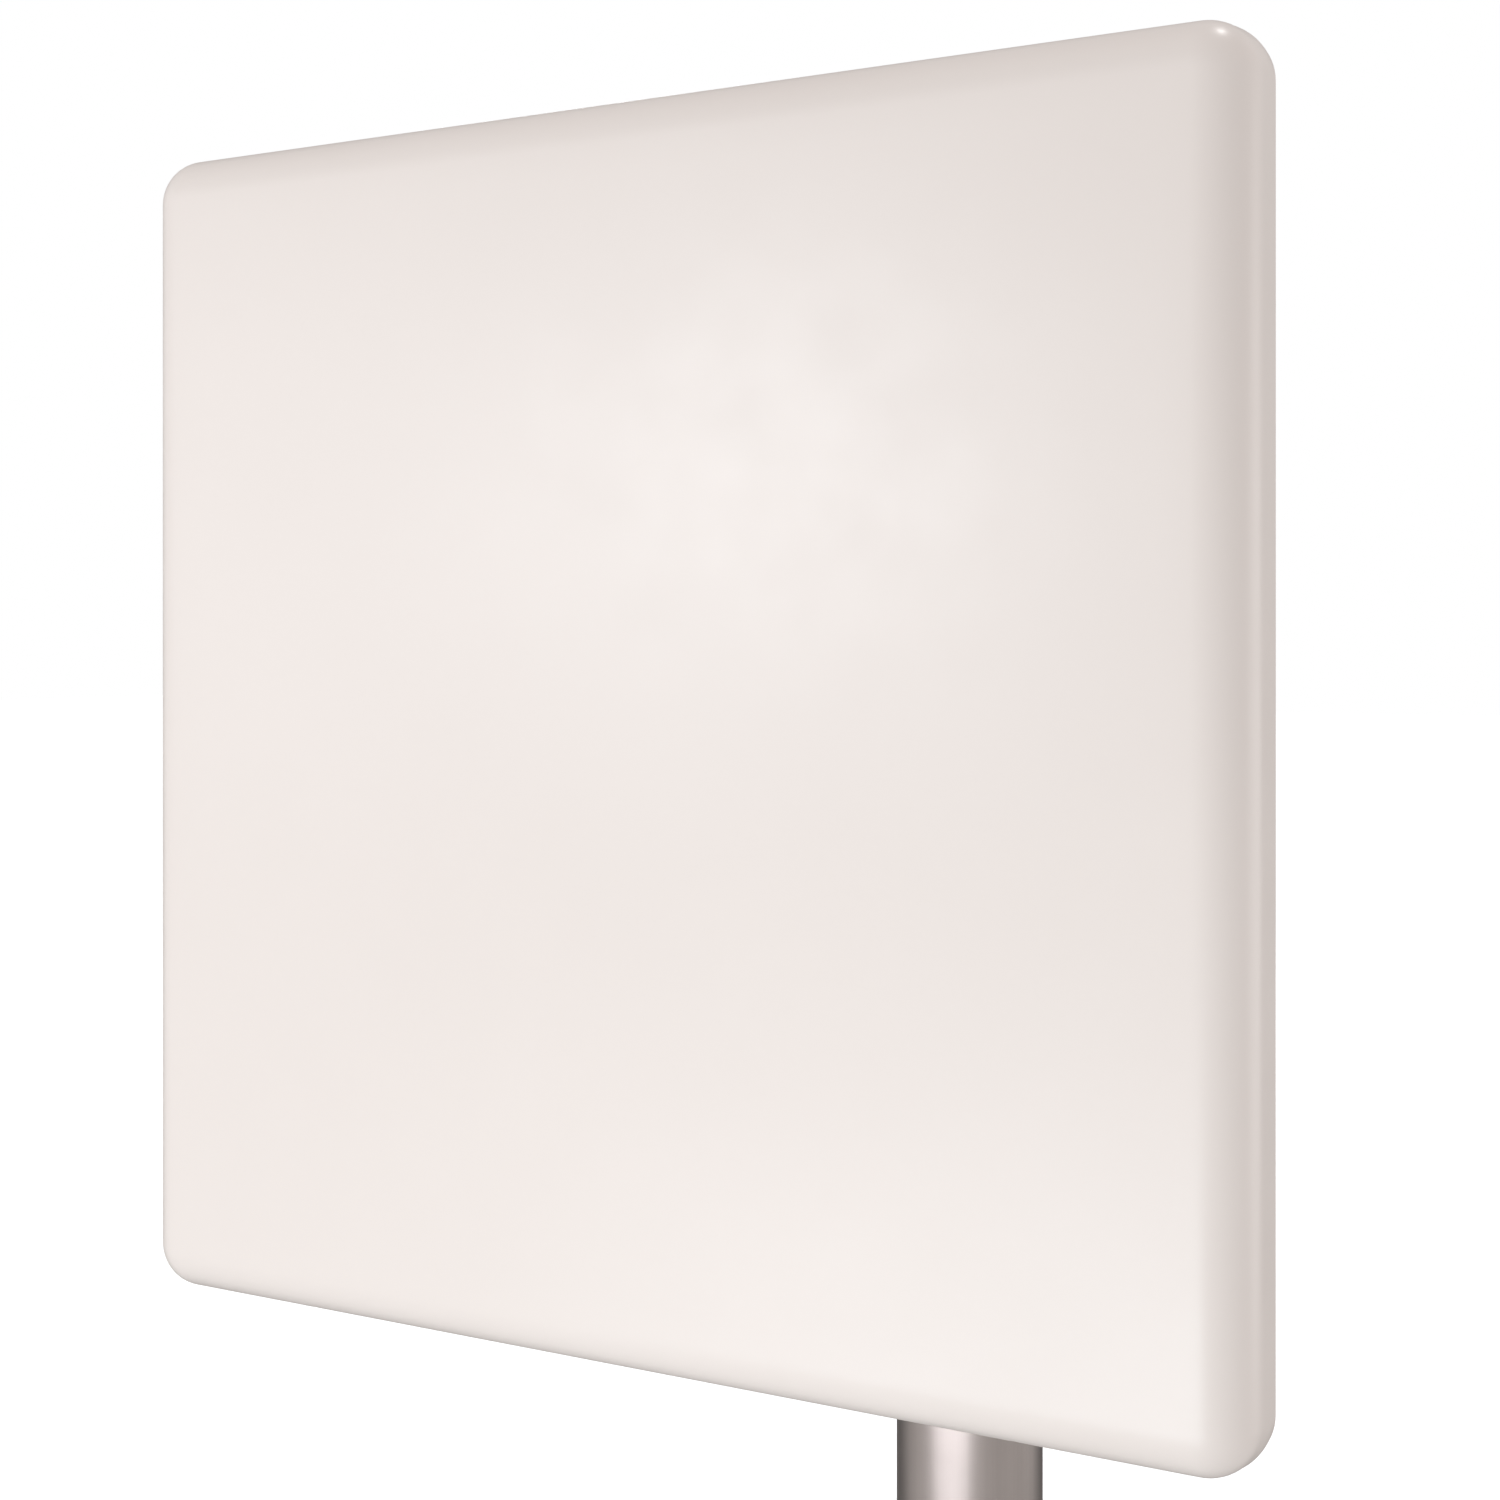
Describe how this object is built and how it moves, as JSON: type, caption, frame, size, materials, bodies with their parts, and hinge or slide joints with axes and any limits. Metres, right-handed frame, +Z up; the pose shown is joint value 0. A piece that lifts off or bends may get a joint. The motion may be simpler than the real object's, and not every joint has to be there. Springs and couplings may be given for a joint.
{
  "type": "flat panel antenna",
  "caption": "Square flat panel antenna with a rounded white radome, held by an articulated tilt and swivel bracket that is clamped to a round mast.",
  "frame": {"origin": "centre of the mast's lower end", "axes": "+Z up the mast, the radome faces -Y, and +X is to the right of someone who looks at the radome"},
  "size_m": [0.34, 0.2577, 0.47],
  "materials": {
    "radome_plastic": "glossy moulded plastic",
    "seal_rubber": "matt rubber",
    "plate_aluminium": "mill finish",
    "stainless_steel": "satin stainless steel",
    "board_laminate": "glass and resin laminate",
    "copper": "bare copper",
    "nylon": "natural nylon",
    "jack_nickel": "nickel plate",
    "insulator_ptfe": "white fluoropolymer",
    "contact_gold": "gold plate",
    "label_film": "printed film",
    "bracket_steel": "galvanised steel sheet",
    "saddle_aluminium": "cast aluminium",
    "mast_steel": "smooth galvanised tube",
    "cap_plastic": "black polyethylene"
  },
  "bodies": {
    "mast": {"mast": "mast_steel", "mast_cap": "cap_plastic"},
    "mast_clamp": {"mast_bracket": "bracket_steel", "swivel_bolt": "stainless_steel", "swivel_washers": "stainless_steel", "swivel_nut": "stainless_steel", "upper_u_bolt": "stainless_steel", "lower_u_bolt": "stainless_steel", "upper_saddle": "saddle_aluminium", "lower_saddle": "saddle_aluminium", "u_bolt_washers": "stainless_steel", "u_bolt_spring_washers": "stainless_steel", "u_bolt_nuts": "stainless_steel"},
    "swivel_arm": {"swivel_arm": "bracket_steel", "tilt_pivot_bolts": "stainless_steel", "tilt_pivot_washers": "stainless_steel", "tilt_pivot_nuts": "stainless_steel", "tilt_lock_bolts": "stainless_steel", "tilt_lock_washers": "stainless_steel", "tilt_lock_nuts": "stainless_steel", "swivel_spacer": "stainless_steel", "swivel_lock_bolts": "stainless_steel", "swivel_lock_washers": "stainless_steel", "swivel_lock_nuts": "stainless_steel"},
    "panel": {"radome": "radome_plastic", "seal_ring": "seal_rubber", "back_plate": "plate_aluminium", "back_plate_screws": "stainless_steel", "patch_board": "board_laminate", "patch_copper": "copper", "board_spacers": "nylon", "board_screws": "nylon", "spacer_screws": "stainless_steel", "jack_body": "jack_nickel", "jack_insulator": "insulator_ptfe", "jack_contact": "contact_gold", "jack_gasket": "seal_rubber", "jack_screws": "stainless_steel", "mounting_studs": "stainless_steel", "stud_washers": "stainless_steel", "stud_spring_washers": "stainless_steel", "stud_nuts": "stainless_steel", "polarity_label": "label_film", "panel_bracket": "bracket_steel"}
  },
  "joints": [
    {"name": "azimuth", "type": "hinge", "parent": "mast", "child": "mast_clamp", "pos_m": [0, 0, 0.3], "axis": [0, 0, 1], "continuous": true},
    {"name": "swivel", "type": "hinge", "parent": "mast_clamp", "child": "swivel_arm", "pos_m": [0, -0.072, 0.3], "axis": [0, 0, 1], "range_deg": [-45, 45]},
    {"name": "tilt", "type": "hinge", "parent": "swivel_arm", "child": "panel", "pos_m": [0, -0.1555, 0.3], "axis": [1, 0, 0], "range_deg": [-30, 30]}
  ]
}
